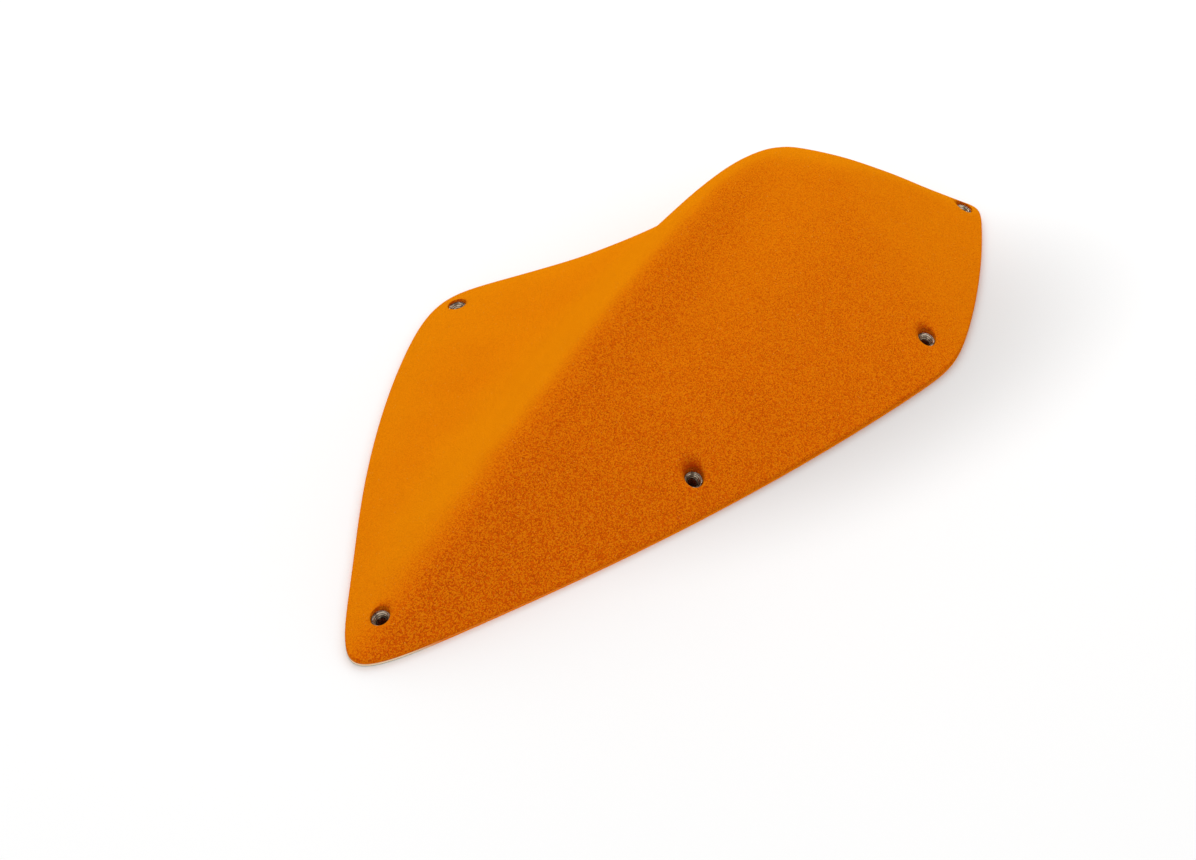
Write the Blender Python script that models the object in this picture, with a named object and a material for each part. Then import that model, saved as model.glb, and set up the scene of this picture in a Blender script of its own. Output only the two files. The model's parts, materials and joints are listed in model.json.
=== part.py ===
"""Macro climbing hold: a hollow glassfibre shell with a gritty orange skin, screwed flat to a wall.

Metres, with +Z pointing out of the wall. z = 0 is the wall plane, +X runs along the long front edge, and
the origin is the middle of the outline's box. The shape is drawn with the hold's tip at (0, 0) and its
front edge along +X, and is moved to the origin when the pieces are made.
"""
import math

import bmesh
import bpy
import numpy as np
from mathutils import Vector

# Corners of the outline, counter-clockwise from the tip
FRONT_LENGTH = 0.5505
TIP = (0.0, 0.0)
RIGHT = (FRONT_LENGTH, 0.0)
BACK_RIGHT = (0.691, 0.135)
BACK = (0.562, 0.266)
LEFT = (0.2616, 0.3092)

# How far each edge of the outline swells past its straight line at mid-length
FRONT_BOW = 0.0194
RIGHT_BOW = 0.0079
BACK_RIGHT_BOW = 0.013
BACK_LEFT_BOW = -0.0183
LEFT_BOW = 0.023

# Rise over run of the faces that climb inward from the edges
FRONT_SLOPE_AT_TIP = 1.295
FRONT_SLOPE_AT_RIGHT = 0.663
RIGHT_SLOPE = 0.755
BACK_RIGHT_SLOPE_AT_RIGHT = 0.903
BACK_RIGHT_SLOPE_AT_BACK = 1.537
BACK_LEFT_SLOPE_AT_BACK = 2.06
BACK_LEFT_SLOPE_AT_LEFT = 0.9
LEFT_EDGE_SLOPE = 0.572
LEFT_SHOULDER_HEIGHT = 0.0073
LEFT_SHOULDER_BLEND = 0.003
LEFT_SLOPE = 0.191
SLOPE_OVERRUN = 0.2

# The broad deck right of the crest, as a tilted plane above the edge
DECK_HEIGHT_AT_TIP = 0.0685
DECK_RISE_ALONG = 0.059
DECK_RISE_ACROSS = 0.0325

# The crest that runs from the tip to the peak
PEAK = (0.4755, 0.1975)
CREST_HEIGHT_AT_TIP = 0.0064
CREST_HEIGHT_AT_PEAK = 0.1267
CREST_SWELL = 0.0394
CREST_BOW = 0.0097
CREST_OVERRUN = 0.1
FLANK_SLOPE_AT_TIP = 1.371
FLANK_SLOPE_AT_PEAK = 1.093
LEFT_FLANK_SLOPE_AT_TIP = 0.731
LEFT_FLANK_SLOPE_AT_PEAK = 1.657

# How softly the faces run into each other
DECK_BLEND = 0.0234
VALLEY_BLEND = 0.0063
CREST_BLEND = 0.0183
LEFT_BLEND = 0.0054
BACK_BLEND = 0.0155
RIGHT_BLEND = 0.0038

# Thickness of the layers, from the wall outward and from the outside inward
GAP = 0.0003
RIM_THICKNESS = 0.002
RIM_WIDTH = 0.008
SKIN = 0.0012
SKIN_UPRIGHT_EDGE = 0.0035
LAMINATE = 0.003

# Turned steel inserts that line the screw holes, measured from the flat top of the flange
FLANGE_RADIUS = 0.007
FLANGE_THICKNESS = 0.002
COUNTERSINK_RADIUS = 0.006
COUNTERSINK_DEPTH = 0.0035
SCREW_BORE_RADIUS = 0.0035
SLEEVE_RADIUS = 0.005
INSERT_LENGTH = 0.005

# Moulded recesses above the inserts and resin bosses below them
RECESS_FLARE = 0.18
RECESS_LIP_DROP = 0.002
RECESS_LEAN_SHARE = 0.45
BOSS_RADIUS = 0.015

# Screw places near a corner: inward from the straight lines of the two edges that meet there
TIP_SCREW_FROM_LEFT = 0.0127
TIP_SCREW_FROM_FRONT = 0.0212
RIGHT_SCREW_FROM_FRONT = 0.0248
RIGHT_SCREW_FROM_RIGHT = 0.025
BACK_RIGHT_SCREW_FROM_RIGHT = 0.0132
BACK_RIGHT_SCREW_FROM_BACK = 0.0123
LEFT_SCREW_FROM_BACK = 0.033
LEFT_SCREW_FROM_LEFT = 0.0203

# Screw places along an edge: the share of the way along it, and inward from its bowed line
FRONT_SCREW_SHARE = 0.5395
FRONT_SCREW_INSET = 0.0212
BACK_SCREW_SHARE = 0.74
BACK_SCREW_INSET = 0.022

# Facets
RAYS = 64
LENGTH_PER_TURNING = 0.15
RINGS = 11
RING_CROWDING = 1.15
ROUND_SIDES = 20
SHARP_ANGLE = 35

# Fineness of the searches that find the outline and the slopes
SLOPE_STEP = 0.0005
BISECT_STEPS = 40
MERGE_DISTANCE = 1e-6

SKIN_FLOOR = RIM_THICKNESS + GAP
EDGE_TOP = SKIN_FLOOR + SKIN_UPRIGHT_EDGE
LAMINATE_OUTSIDE = SKIN + GAP
LAMINATE_INSIDE = LAMINATE_OUTSIDE + LAMINATE
HOLLOW_DEPTH = LAMINATE_INSIDE + GAP
RIM_CLEARANCE = RIM_WIDTH + GAP
RECESS_RADIUS = FLANGE_RADIUS + GAP
CUP_RADIUS = RECESS_RADIUS + SKIN
CUP_CLEARANCE_RADIUS = CUP_RADIUS + GAP
CUTTER_REACH = CREST_HEIGHT_AT_PEAK + CREST_SWELL


def soft_min(a, b, blend):
    """The lower of two heights, rounded where they cross."""
    return -blend * np.logaddexp(-a / blend, -b / blend)


def soft_max(a, b, blend):
    """The higher of two heights, rounded where they cross."""
    return blend * np.logaddexp(a / blend, b / blend)


def along_and_inward(x, y, start, end):
    """Share of the way from start to end, and the distance to the left of that line."""
    run = (end[0] - start[0], end[1] - start[1])
    length = math.hypot(*run)
    unit = (run[0] / length, run[1] / length)
    dx = x - start[0]
    dy = y - start[1]
    return (dx * unit[0] + dy * unit[1]) / length, dy * unit[0] - dx * unit[1]


def side_face(x, y, start, end, bow, slope_at_start, slope_at_end):
    """Height of the face that climbs inward from one bowed edge of the outline."""
    share, inward = along_and_inward(x, y, start, end)
    bowed = inward + 4 * bow * share * (1 - share)
    mix = np.clip(share, -SLOPE_OVERRUN, 1 + SLOPE_OVERRUN)
    return bowed * (slope_at_start + (slope_at_end - slope_at_start) * mix)


def rise(x, y):
    """Height of the outer surface above the top of its upright edge; it is zero on the outline."""
    front = side_face(x, y, TIP, RIGHT, FRONT_BOW, FRONT_SLOPE_AT_TIP, FRONT_SLOPE_AT_RIGHT)
    right = side_face(x, y, RIGHT, BACK_RIGHT, RIGHT_BOW, RIGHT_SLOPE, RIGHT_SLOPE)
    back_right = side_face(x, y, BACK_RIGHT, BACK, BACK_RIGHT_BOW,
                           BACK_RIGHT_SLOPE_AT_RIGHT, BACK_RIGHT_SLOPE_AT_BACK)
    back_left = side_face(x, y, BACK, LEFT, BACK_LEFT_BOW,
                          BACK_LEFT_SLOPE_AT_BACK, BACK_LEFT_SLOPE_AT_LEFT)
    left_edge = side_face(x, y, LEFT, TIP, LEFT_BOW, LEFT_EDGE_SLOPE, LEFT_EDGE_SLOPE)
    left_plain = LEFT_SHOULDER_HEIGHT + side_face(x, y, LEFT, TIP, LEFT_BOW, LEFT_SLOPE, LEFT_SLOPE)
    left = soft_min(left_edge, left_plain, LEFT_SHOULDER_BLEND)

    share, across = along_and_inward(x, y, TIP, PEAK)
    near = np.clip(share, -CREST_OVERRUN, 1 + CREST_OVERRUN)
    swell = 4 * near * (1 - near)
    across = across + CREST_BOW * swell
    crest = CREST_HEIGHT_AT_TIP + (CREST_HEIGHT_AT_PEAK - CREST_HEIGHT_AT_TIP) * share + CREST_SWELL * swell
    right_flank = crest + across * (FLANK_SLOPE_AT_TIP + (FLANK_SLOPE_AT_PEAK - FLANK_SLOPE_AT_TIP) * near)
    left_flank = crest - across * (LEFT_FLANK_SLOPE_AT_TIP
                                   + (LEFT_FLANK_SLOPE_AT_PEAK - LEFT_FLANK_SLOPE_AT_TIP) * near)

    deck = DECK_HEIGHT_AT_TIP + DECK_RISE_ALONG * x + DECK_RISE_ACROSS * y
    right_half = soft_max(soft_min(front, deck, DECK_BLEND), right_flank, VALLEY_BLEND)
    left_half = soft_max(left, left_flank, LEFT_BLEND)
    body = soft_min(left_half, right_half, CREST_BLEND)
    back = soft_min(back_right, back_left, BACK_BLEND)
    return soft_min(soft_min(body, back, BACK_BLEND), right, RIGHT_BLEND)


def slope(x, y):
    """Rise over run of the outer surface along x and along y."""
    step = SLOPE_STEP
    along_x = (rise(x + step, y) - rise(x - step, y)) / (2 * step)
    along_y = (rise(x, y + step) - rise(x, y - step)) / (2 * step)
    return along_x, along_y


def layer_height(x, y, depth):
    """Height above the wall of a surface that lies a depth below the outer one, measured square to it."""
    along_x, along_y = slope(x, y)
    return EDGE_TOP + rise(x, y) - depth * np.sqrt(1 + along_x ** 2 + along_y ** 2)


def bisect(inside, low, high):
    """Distance along each ray at which the test stops being true."""
    for _ in range(BISECT_STEPS):
        middle = (low + high) / 2
        passed = inside(middle)
        low = np.where(passed, middle, low)
        high = np.where(passed, high, middle)
    return low


class Plan:
    """The outline seen from the front, held as rays that leave one point on the crest."""

    CENTRE_SHARE = 0.75
    SAMPLES = 1440
    TRIES = 400
    BEYOND_CORNERS = 1.5

    def __init__(self):
        self.centre = (PEAK[0] * self.CENTRE_SHARE, PEAK[1] * self.CENTRE_SHARE)
        corners = (TIP, RIGHT, BACK_RIGHT, BACK, LEFT)
        self.reach = self.BEYOND_CORNERS * max(math.dist(self.centre, corner) for corner in corners)
        dense = np.linspace(0, 2 * math.pi, self.SAMPLES, endpoint=False)
        radii = self.outline_radii(dense)
        self.edge = np.stack(self.points(dense, radii), axis=1)
        self.angles = self.spread_angles(dense)
        outline = np.stack(self.points(self.angles, self.outline_radii(self.angles)))
        self.middle = (outline.max(axis=1) + outline.min(axis=1)) / 2

    def points(self, angles, radii):
        """Drawing coordinates of points at distances along rays."""
        return self.centre[0] + radii * np.cos(angles), self.centre[1] + radii * np.sin(angles)

    def outline_radii(self, angles):
        """Distance from the centre to the outline, the outermost place where the rise is zero."""
        tries = np.linspace(0, self.reach, self.TRIES)[:, None]
        above = rise(*self.points(angles, tries)) > 0
        last = len(tries) - 1 - np.argmax(above[::-1], axis=0)
        low = tries[last, 0]
        high = tries[np.minimum(last + 1, len(tries) - 1), 0]
        return bisect(lambda radii: rise(*self.points(angles, radii)) > 0, low, high)

    def spread_angles(self, dense):
        """Rays at equal steps of the outline's length and turning, so that corners get more of them."""
        run = np.roll(self.edge, -1, axis=0) - self.edge
        heading = np.unwrap(np.arctan2(run[:, 1], run[:, 0]))
        turning = np.abs(np.diff(heading, prepend=heading[-1] - 2 * math.pi))
        travelled = np.concatenate([[0], np.cumsum(np.hypot(*run.T) + LENGTH_PER_TURNING * turning)])
        steps = np.linspace(0, travelled[-1], RAYS, endpoint=False)
        return np.interp(steps, travelled, np.append(dense, 2 * math.pi))

    def distance_to_edge(self, x, y):
        """Shortest distance from points to the outline."""
        start = self.edge
        run = np.roll(self.edge, -1, axis=0) - start
        dx = x[:, None] - start[:, 0]
        dy = y[:, None] - start[:, 1]
        share = np.clip((dx * run[:, 0] + dy * run[:, 1]) / (run ** 2).sum(axis=1), 0, 1)
        return np.hypot(dx - share * run[:, 0], dy - share * run[:, 1]).min(axis=1)

    def inset_radii(self, inset):
        """Distance from the centre to the curve that runs an inset inside the outline."""
        outer = self.outline_radii(self.angles)
        if inset == 0:
            return outer

        def deep_enough(radii):
            return self.distance_to_edge(*self.points(self.angles, radii)) >= inset
        return bisect(deep_enough, np.zeros_like(outer), outer)


def to_part(x, y, z, plan):
    """Vertices in the part's frame from drawing coordinates."""
    return np.stack([x - plan.middle[0], y - plan.middle[1], np.broadcast_to(z, x.shape)], axis=-1)


def new_object(name, mesh):
    """Object that shows a mesh, linked into the scene."""
    obj = bpy.data.objects.new(name, mesh)
    bpy.context.collection.objects.link(obj)
    return obj


def inner_rings(plan):
    """Ring radii shared by every layer, so that their facets lie parallel, up to the rim's inner edge."""
    shares = (np.arange(1, RINGS + 1) / RINGS) ** RING_CROWDING
    return shares[:, None] * plan.inset_radii(RIM_CLEARANCE)


def solid_on_floor(name, plan, radii, depth, floor):
    """Closed body under a layer's surface: rings of triangles on top, upright sides and a flat floor."""
    rings, rays = radii.shape
    x, y = plan.points(plan.angles, radii)
    top = to_part(x, y, layer_height(x, y, depth), plan).reshape(-1, 3)
    bottom = to_part(x[-1], y[-1], floor, plan)
    centre = np.array(plan.centre)
    crown = to_part(centre[:1], centre[1:], layer_height(centre[:1], centre[1:], depth), plan)

    index = np.arange(rings * rays).reshape(rings, rays)
    after = np.roll(index, -1, axis=1)
    crown_index = rings * rays
    faces = [(crown_index, a, b) for a, b in zip(index[0].tolist(), after[0].tolist())]
    for ring in range(rings - 1):
        for ray in range(rays):
            a, b = int(index[ring, ray]), int(after[ring, ray])
            c, d = int(index[ring + 1, ray]), int(after[ring + 1, ray])
            faces += [(a, c, d), (a, d, b)]
    base = crown_index + 1
    for ray in range(rays):
        following = (ray + 1) % rays
        faces.append((int(index[-1, ray]), base + ray, base + following, int(index[-1, following])))
    faces.append(tuple(base + ray for ray in reversed(range(rays))))

    mesh = bpy.data.meshes.new(name)
    mesh.from_pydata(np.vstack([top, crown, bottom]).tolist(), [], faces)
    return new_object(name, mesh)


def layer_solid(name, plan, depth, floor):
    """Everything of the hold that lies deeper than a depth, inward from the sides and from the top."""
    common = inner_rings(plan)
    near_edge = plan.inset_radii((RIM_CLEARANCE + HOLLOW_DEPTH) / 2)
    radii = np.vstack([common, near_edge, plan.inset_radii(depth)])
    return solid_on_floor(name, plan, radii, depth, floor)


def ring_solid(name, plan, inset, thickness):
    """Flat ring on the wall plane, from the outline to an inset."""
    outer = plan.points(plan.angles, plan.inset_radii(0))
    inner = plan.points(plan.angles, plan.inset_radii(inset))
    shell = bmesh.new()
    loops = []
    for (x, y), z in ((outer, 0.0), (outer, thickness), (inner, thickness), (inner, 0.0)):
        loops.append([shell.verts.new(place) for place in to_part(x, y, z, plan)])
    for loop, following in zip(loops, loops[1:] + loops[:1]):
        for ray in range(RAYS):
            step = (ray + 1) % RAYS
            shell.faces.new((loop[ray], loop[step], following[step], following[ray]))
    mesh = bpy.data.meshes.new(name)
    shell.to_mesh(mesh)
    shell.free()
    return new_object(name, mesh)


def turned(name, profile):
    """Solid of revolution from a closed profile of (radius, height) corners, counter-clockwise."""
    lathe = bmesh.new()
    corners = [lathe.verts.new((radius, 0.0, height)) for radius, height in profile]
    edges = [lathe.edges.new(pair) for pair in zip(corners, corners[1:] + corners[:1])]
    bmesh.ops.spin(lathe, geom=corners + edges, axis=(0, 0, 1), cent=(0, 0, 0),
                   angle=2 * math.pi, steps=ROUND_SIDES, use_merge=True)
    bmesh.ops.remove_doubles(lathe, verts=lathe.verts, dist=MERGE_DISTANCE)
    bmesh.ops.recalc_face_normals(lathe, faces=lathe.faces)
    mesh = bpy.data.meshes.new(name)
    lathe.to_mesh(mesh)
    lathe.free()
    return new_object(name, mesh)


def plug(name, sections):
    """Solid round plug through (height, radius) sections, closed flat at both ends."""
    stack = bmesh.new()
    loops = []
    for height, radius in sections:
        places = [(radius * math.cos(a), radius * math.sin(a), height)
                  for a in np.linspace(0, 2 * math.pi, ROUND_SIDES, endpoint=False)]
        loops.append([stack.verts.new(place) for place in places])
    for lower, upper in zip(loops, loops[1:]):
        for side in range(ROUND_SIDES):
            step = (side + 1) % ROUND_SIDES
            stack.faces.new((lower[side], lower[step], upper[step], upper[side]))
    stack.faces.new(list(reversed(loops[0])))
    stack.faces.new(loops[-1])
    mesh = bpy.data.meshes.new(name)
    stack.to_mesh(mesh)
    stack.free()
    return new_object(name, mesh)


def as_cutter(obj):
    """Mark an object as a tool that only shapes other objects."""
    obj.hide_render = True
    obj.display_type = "WIRE"
    return obj


def combine(obj, operation, tool):
    """Boolean modifier on an object."""
    modifier = obj.modifiers.new(f"{operation} {tool.name}", "BOOLEAN")
    modifier.operation = operation
    modifier.solver = "EXACT"
    modifier.object = tool


def finish(obj, colour, roughness, metallic=0.0):
    """Give a piece its own plain material and shade its round parts smooth."""
    material = bpy.data.materials.new(f"{obj.name}_finish")
    material.use_nodes = True
    surface = material.node_tree.nodes["Principled BSDF"]
    surface.inputs["Base Color"].default_value = (*colour, 1.0)
    surface.inputs["Roughness"].default_value = roughness
    surface.inputs["Metallic"].default_value = metallic
    obj.data.materials.append(material)
    obj.data.shade_smooth()
    obj.data.set_sharp_from_angle(angle=math.radians(SHARP_ANGLE))


def corner_place(before, corner, after, from_before, from_after):
    """Point at given distances inward from the two straight edges that meet at a corner."""
    normals = []
    for start, end in ((before, corner), (corner, after)):
        length = math.dist(start, end)
        normals.append(((start[1] - end[1]) / length, (end[0] - start[0]) / length))
    offset = np.linalg.solve(np.array(normals), (from_before, from_after))
    return corner[0] + offset[0], corner[1] + offset[1]


def edge_place(start, end, bow, share, inset):
    """Point part of the way along a bowed edge, an inset inward from it."""
    length = math.dist(start, end)
    inward = (inset - 4 * bow * share * (1 - share)) / length
    run = (end[0] - start[0], end[1] - start[1])
    return start[0] + share * run[0] - inward * run[1], start[1] + share * run[1] + inward * run[0]


def screw_places():
    """Drawing coordinates of the six screw holes."""
    return {
        "tip": corner_place(LEFT, TIP, RIGHT, TIP_SCREW_FROM_LEFT, TIP_SCREW_FROM_FRONT),
        "front": edge_place(TIP, RIGHT, FRONT_BOW, FRONT_SCREW_SHARE, FRONT_SCREW_INSET),
        "right": corner_place(TIP, RIGHT, BACK_RIGHT, RIGHT_SCREW_FROM_FRONT, RIGHT_SCREW_FROM_RIGHT),
        "back_right": corner_place(RIGHT, BACK_RIGHT, BACK,
                                   BACK_RIGHT_SCREW_FROM_RIGHT, BACK_RIGHT_SCREW_FROM_BACK),
        "back": edge_place(BACK_RIGHT, BACK, BACK_RIGHT_BOW, BACK_SCREW_SHARE, BACK_SCREW_INSET),
        "left": corner_place(BACK, LEFT, TIP, LEFT_SCREW_FROM_BACK, LEFT_SCREW_FROM_LEFT),
    }


def lowest_rim(surface, axis):
    """Height along a leaning axis, from a surface point, of the lowest place that a recess's rim meets."""
    sides = np.linspace(0, 2 * math.pi, ROUND_SIDES, endpoint=False)[:, None]
    across = axis.orthogonal().normalized()
    rim = surface + RECESS_RADIUS * (np.cos(sides) * across + np.sin(sides) * axis.cross(across))

    def under_surface(heights):
        x, y, z = (rim + heights[:, None] * axis).T
        return z < layer_height(x, y, 0.0)
    search = np.full(ROUND_SIDES, 2 * RECESS_RADIUS)
    return bisect(under_surface, -search, search).min()


def screw_seat(place, plan):
    """Middle of an insert's flat top and the axis of its hole, in the part's frame.

    The axis leans out from the wall's normal by a share of the surface's own tilt, and the insert is sunk
    until its whole rim is just below the surface.
    """
    x, y = np.array([place[0]]), np.array([place[1]])
    along_x, along_y = (float(value[0]) for value in slope(x, y))
    steepness = math.atan(math.hypot(along_x, along_y))
    lean = RECESS_LEAN_SHARE * steepness
    downhill = Vector((-along_x, -along_y, 0)).normalized()
    axis = Vector((0, 0, math.cos(lean))) + downhill * math.sin(lean)
    surface = np.array([place[0], place[1], layer_height(x, y, 0.0)[0]])
    seat = surface + (lowest_rim(surface, axis) - RECESS_LIP_DROP) * np.array(axis)
    return Vector(to_part(seat[:1], seat[1:2], seat[2:], plan)[0]), axis


def place_on_seat(obj, seat, axis):
    """Stand an object on a screw seat, with its own Z along the hole's axis."""
    obj.location = seat
    obj.rotation_mode = "QUATERNION"
    obj.rotation_quaternion = axis.to_track_quat("Z", "Y")
    return obj


def cup_sections(radius, below, above=CUTTER_REACH):
    """Straight below the insert's flange top and flared above it."""
    return ((-below, radius), (0.0, radius), (above, radius + RECESS_FLARE * above))


def screw_tools(label, seat, axis):
    """The cutters that shape the skin, the laminate and the boss around one screw hole."""
    leaning_radius = CUP_RADIUS * math.hypot(axis.x, axis.y)
    neck_foot = (SKIN_FLOOR + leaning_radius - seat.z) / axis.z
    shapes = {
        "sleeve": cup_sections(CUP_RADIUS, FLANGE_THICKNESS),
        "recess": cup_sections(RECESS_RADIUS, 2 * FLANGE_THICKNESS),
        "clearance": cup_sections(CUP_CLEARANCE_RADIUS, CUTTER_REACH),
        "neck": ((neck_foot, CUP_RADIUS), (0.0, CUP_RADIUS)),
    }
    tools = {key: plug(f"tool_{key}_{label}", sections) for key, sections in shapes.items()}
    shoulder = -FLANGE_THICKNESS - GAP
    foot = -INSERT_LENGTH - GAP
    tools["pocket"] = plug(f"tool_pocket_{label}", (
        (-CUTTER_REACH, SCREW_BORE_RADIUS),
        (foot, SCREW_BORE_RADIUS),
        (foot, SLEEVE_RADIUS + GAP),
        (shoulder, SLEEVE_RADIUS + GAP),
        *cup_sections(CUP_CLEARANCE_RADIUS, -shoulder),
    ))
    for tool in tools.values():
        as_cutter(place_on_seat(tool, seat, axis))
    return tools


def screw_insert(label, seat, axis):
    """Turned steel bush with a countersink that takes the screw's head."""
    profile = (
        (SCREW_BORE_RADIUS, -INSERT_LENGTH),
        (SLEEVE_RADIUS, -INSERT_LENGTH),
        (SLEEVE_RADIUS, -FLANGE_THICKNESS),
        (FLANGE_RADIUS, -FLANGE_THICKNESS),
        (FLANGE_RADIUS, 0.0),
        (COUNTERSINK_RADIUS, 0.0),
        (SCREW_BORE_RADIUS, -COUNTERSINK_DEPTH),
    )
    insert = place_on_seat(turned(f"screw_insert_{label}", profile), seat, axis)
    finish(insert, (0.60, 0.60, 0.58), 0.28, 1.0)
    return insert


def screw_boss(label, seat, axis, space, under_skin, tools):
    """Resin column under the laminate, with a neck through it, a pocket for the insert and a hole."""
    sections = ((-CUTTER_REACH, BOSS_RADIUS), (CUTTER_REACH, BOSS_RADIUS))
    boss = place_on_seat(plug(f"screw_boss_{label}", sections), seat, axis)
    combine(boss, "INTERSECT", space)
    combine(boss, "UNION", tools["neck"])
    combine(boss, "INTERSECT", under_skin)
    combine(boss, "DIFFERENCE", tools["pocket"])
    finish(boss, (0.36, 0.11, 0.03), 0.55)
    return boss


def shell_layers(plan, holes):
    """The orange skin with its moulded recess cups, and the laminate that backs it."""
    skin = layer_solid("textured_gelcoat", plan, 0.0, SKIN_FLOOR)
    skin_core = as_cutter(layer_solid("tool_skin_core", plan, SKIN, -CUTTER_REACH))
    laminate = layer_solid("glassfibre_laminate", plan, LAMINATE_OUTSIDE, SKIN_FLOOR)
    laminate_core = as_cutter(layer_solid("tool_laminate_core", plan, LAMINATE_INSIDE, -CUTTER_REACH))
    for tools in holes.values():
        combine(skin_core, "DIFFERENCE", tools["sleeve"])
    combine(skin, "DIFFERENCE", skin_core)
    combine(laminate, "DIFFERENCE", laminate_core)
    for tools in holes.values():
        combine(skin, "DIFFERENCE", tools["recess"])
        combine(laminate, "DIFFERENCE", tools["clearance"])
    finish(skin, (0.78, 0.21, 0.008), 0.75)
    finish(laminate, (0.62, 0.55, 0.40), 0.45)
    return skin, laminate


def build():
    """Make every piece of the hold."""
    for obj in list(bpy.data.objects):
        bpy.data.objects.remove(obj)
    plan = Plan()
    seats = {label: screw_seat(place, plan) for label, place in screw_places().items()}
    holes = {label: screw_tools(label, *seat) for label, seat in seats.items()}
    shell_layers(plan, holes)
    rim = ring_solid("wall_rim", plan, RIM_WIDTH, RIM_THICKNESS)
    for tools in holes.values():
        combine(rim, "DIFFERENCE", tools["pocket"])
    finish(rim, (0.66, 0.57, 0.40), 0.6)

    space = as_cutter(solid_on_floor("tool_boss_space", plan, inner_rings(plan), HOLLOW_DEPTH, 0.0))
    under_skin = as_cutter(layer_solid("tool_under_skin", plan, LAMINATE_OUTSIDE, -CUTTER_REACH))
    for label, seat in seats.items():
        screw_boss(label, *seat, space, under_skin, holes[label])
        screw_insert(label, *seat)


build()
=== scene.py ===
"""Looks of the macro climbing hold, laid out as a Blender add-on and run as a script.

Metres, in the packed part's own frame: z = 0 is the wall plane, +X runs along the long front edge, and the
origin is the middle of the outline's box. The outer shape is drawn with the tip at (0, 0) and moved to the
origin when its pieces are made, as in the part's source.
"""
import json
import math
from functools import cached_property

import bpy
import numpy as np
from bpy.props import FloatProperty, FloatVectorProperty, IntProperty, PointerProperty
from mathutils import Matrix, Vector


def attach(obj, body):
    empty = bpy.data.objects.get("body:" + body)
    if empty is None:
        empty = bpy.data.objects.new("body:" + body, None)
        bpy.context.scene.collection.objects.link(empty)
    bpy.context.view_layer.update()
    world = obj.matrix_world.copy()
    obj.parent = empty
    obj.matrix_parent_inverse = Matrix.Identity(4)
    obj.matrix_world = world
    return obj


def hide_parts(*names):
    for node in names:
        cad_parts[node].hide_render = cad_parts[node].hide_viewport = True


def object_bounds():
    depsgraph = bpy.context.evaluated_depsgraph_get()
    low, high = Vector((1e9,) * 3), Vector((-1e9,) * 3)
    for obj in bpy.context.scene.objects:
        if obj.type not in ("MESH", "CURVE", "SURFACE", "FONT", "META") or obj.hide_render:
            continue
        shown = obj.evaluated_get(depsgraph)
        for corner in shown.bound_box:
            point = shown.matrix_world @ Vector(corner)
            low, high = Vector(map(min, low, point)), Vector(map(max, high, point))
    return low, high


bl_info = {
    "name": "Macro climbing hold",
    "version": (1, 0, 0),
    "blender": (4, 5, 0),
    "location": "3D View > Sidebar > Hold",
    "description": "Builds a large hollow climbing hold with a gritty skin and steel screw inserts",
    "category": "Object",
}

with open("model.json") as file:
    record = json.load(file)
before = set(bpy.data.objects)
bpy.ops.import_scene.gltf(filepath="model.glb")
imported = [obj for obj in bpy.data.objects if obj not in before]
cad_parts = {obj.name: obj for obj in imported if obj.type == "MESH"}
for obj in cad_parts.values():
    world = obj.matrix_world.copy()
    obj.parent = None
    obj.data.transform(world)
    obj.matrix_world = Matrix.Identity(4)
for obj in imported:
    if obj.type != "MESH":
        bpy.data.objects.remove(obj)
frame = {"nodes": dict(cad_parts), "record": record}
CAD_BOX = [list(corner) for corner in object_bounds()]
BODY = "root"

# Cutting tools reach this far below the wall, above a screw seat, and past anything of the hold
LOW = -0.05
HIGH = 0.05
FAR = 0.1


# Property helpers


def length(default, description, **limits):
    """A length in metres."""
    return FloatProperty(default=default, description=description, unit="LENGTH", precision=4, **limits)


def ratio(default, description, **limits):
    """A plain number, such as a slope or a share."""
    return FloatProperty(default=default, description=description, precision=3, **limits)


def whole(default, description):
    """A whole number of rays, rings or sides."""
    return IntProperty(default=default, description=description, min=16)


def place(default, description):
    """A point, with two or three coordinates in metres."""
    return FloatVectorProperty(default=default, description=description, size=len(default),
                               subtype="XYZ", unit="LENGTH", precision=4)


def colour(default, description):
    """A linear colour."""
    return FloatVectorProperty(default=default, description=description, size=3, subtype="COLOR",
                               min=0.0, max=1.0)


def angle(degrees, description):
    """An angle, whose default is given in degrees."""
    return FloatProperty(default=math.radians(degrees), description=description, subtype="ANGLE")


class HoldOutline(bpy.types.PropertyGroup):
    """Corners of the outline and how far each edge swells."""

    front_length: length(0.5505, "Length of the straight line along the front edge")
    back_right: place((0.691, 0.135), "Corner beyond the blunt end")
    back: place((0.562, 0.266), "Corner behind the peak")
    left: place((0.2616, 0.3092), "Corner left of the crest")
    front_bow: length(0.0194, "Swell of the front edge at mid-length")
    right_bow: length(0.0079, "Swell of the right edge at mid-length")
    back_right_bow: length(0.013, "Swell of the back right edge")
    back_left_bow: length(-0.0183, "Swell of the back left edge, which is hollow")
    left_bow: length(0.023, "Swell of the left edge")


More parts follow.
